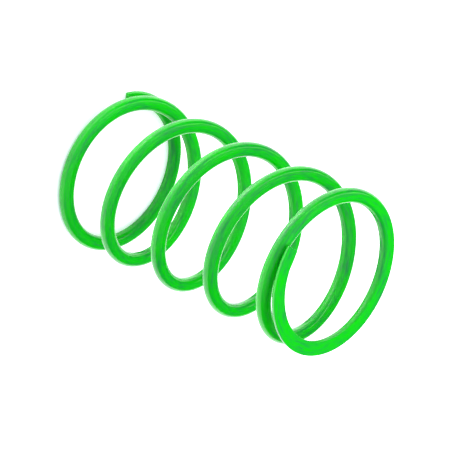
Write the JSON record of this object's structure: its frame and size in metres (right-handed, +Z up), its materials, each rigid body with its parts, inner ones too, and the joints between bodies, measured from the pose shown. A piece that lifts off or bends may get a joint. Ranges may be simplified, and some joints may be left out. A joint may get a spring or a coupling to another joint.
{
  "type": "coil spring",
  "caption": "Cylindrical helical compression spring of round wire with closed, ground flat ends and a glossy green coating, for a vehicle's suspension.",
  "frame": {"origin": "centre of the coil on the bottom seating plane", "axes": "+Z up the coil's axis from the bottom seat to the top seat; +X from the axis to the bottom tip's cut end"},
  "size_m": [0.1424, 0.1424, 0.2553],
  "materials": {
    "coated_wire": "glossy powder coat"
  },
  "bodies": {
    "bottom_end": {"turn_1_front_right": "coated_wire", "turn_1_front_left": "coated_wire", "turn_1_back_left": "coated_wire", "turn_1_back_right": "coated_wire", "turn_2_front_right": "coated_wire"},
    "quarter_1": {"turn_2_front_left": "coated_wire"},
    "quarter_2": {"turn_2_back_left": "coated_wire"},
    "quarter_3": {"turn_2_back_right": "coated_wire"},
    "quarter_4": {"turn_3_front_right": "coated_wire"},
    "quarter_5": {"turn_3_front_left": "coated_wire"},
    "quarter_6": {"turn_3_back_left": "coated_wire"},
    "quarter_7": {"turn_3_back_right": "coated_wire"},
    "quarter_8": {"turn_4_front_right": "coated_wire"},
    "quarter_9": {"turn_4_front_left": "coated_wire"},
    "quarter_10": {"turn_4_back_left": "coated_wire"},
    "quarter_11": {"turn_4_back_right": "coated_wire"},
    "quarter_12": {"turn_5_front_right": "coated_wire"},
    "quarter_13": {"turn_5_front_left": "coated_wire"},
    "top_end": {"turn_5_back_left": "coated_wire", "turn_5_back_right": "coated_wire", "turn_6_front_right": "coated_wire", "turn_6_front_left": "coated_wire", "turn_6_back_left": "coated_wire"}
  },
  "joints": [
    {"name": "flex_1", "type": "slide", "parent": "bottom_end", "child": "quarter_1", "axis": [0, 0, 1], "range_m": [-0.009, 0], "stiffness_N_per_m": 378000},
    {"name": "flex_2", "type": "slide", "parent": "quarter_1", "child": "quarter_2", "axis": [0, 0, 1], "range_m": [-0.009, 0], "stiffness_N_per_m": 378000},
    {"name": "flex_3", "type": "slide", "parent": "quarter_2", "child": "quarter_3", "axis": [0, 0, 1], "range_m": [-0.009, 0], "stiffness_N_per_m": 378000},
    {"name": "flex_4", "type": "slide", "parent": "quarter_3", "child": "quarter_4", "axis": [0, 0, 1], "range_m": [-0.009, 0], "stiffness_N_per_m": 378000},
    {"name": "flex_5", "type": "slide", "parent": "quarter_4", "child": "quarter_5", "axis": [0, 0, 1], "range_m": [-0.009, 0], "stiffness_N_per_m": 378000},
    {"name": "flex_6", "type": "slide", "parent": "quarter_5", "child": "quarter_6", "axis": [0, 0, 1], "range_m": [-0.009, 0], "stiffness_N_per_m": 378000},
    {"name": "flex_7", "type": "slide", "parent": "quarter_6", "child": "quarter_7", "axis": [0, 0, 1], "range_m": [-0.009, 0], "stiffness_N_per_m": 378000},
    {"name": "flex_8", "type": "slide", "parent": "quarter_7", "child": "quarter_8", "axis": [0, 0, 1], "range_m": [-0.009, 0], "stiffness_N_per_m": 378000},
    {"name": "flex_9", "type": "slide", "parent": "quarter_8", "child": "quarter_9", "axis": [0, 0, 1], "range_m": [-0.009, 0], "stiffness_N_per_m": 378000},
    {"name": "flex_10", "type": "slide", "parent": "quarter_9", "child": "quarter_10", "axis": [0, 0, 1], "range_m": [-0.009, 0], "stiffness_N_per_m": 378000},
    {"name": "flex_11", "type": "slide", "parent": "quarter_10", "child": "quarter_11", "axis": [0, 0, 1], "range_m": [-0.009, 0], "stiffness_N_per_m": 378000},
    {"name": "flex_12", "type": "slide", "parent": "quarter_11", "child": "quarter_12", "axis": [0, 0, 1], "range_m": [-0.009, 0], "stiffness_N_per_m": 378000},
    {"name": "flex_13", "type": "slide", "parent": "quarter_12", "child": "quarter_13", "axis": [0, 0, 1], "range_m": [-0.009, 0], "stiffness_N_per_m": 378000},
    {"name": "flex_14", "type": "slide", "parent": "quarter_13", "child": "top_end", "axis": [0, 0, 1], "range_m": [-0.009, 0], "stiffness_N_per_m": 378000}
  ],
  "couplings": [
    {"joint": "flex_2", "follows": "flex_1", "ratio": 1},
    {"joint": "flex_3", "follows": "flex_1", "ratio": 1},
    {"joint": "flex_4", "follows": "flex_1", "ratio": 1},
    {"joint": "flex_5", "follows": "flex_1", "ratio": 1},
    {"joint": "flex_6", "follows": "flex_1", "ratio": 1},
    {"joint": "flex_7", "follows": "flex_1", "ratio": 1},
    {"joint": "flex_8", "follows": "flex_1", "ratio": 1},
    {"joint": "flex_9", "follows": "flex_1", "ratio": 1},
    {"joint": "flex_10", "follows": "flex_1", "ratio": 1},
    {"joint": "flex_11", "follows": "flex_1", "ratio": 1},
    {"joint": "flex_12", "follows": "flex_1", "ratio": 1},
    {"joint": "flex_13", "follows": "flex_1", "ratio": 1},
    {"joint": "flex_14", "follows": "flex_1", "ratio": 1}
  ]
}
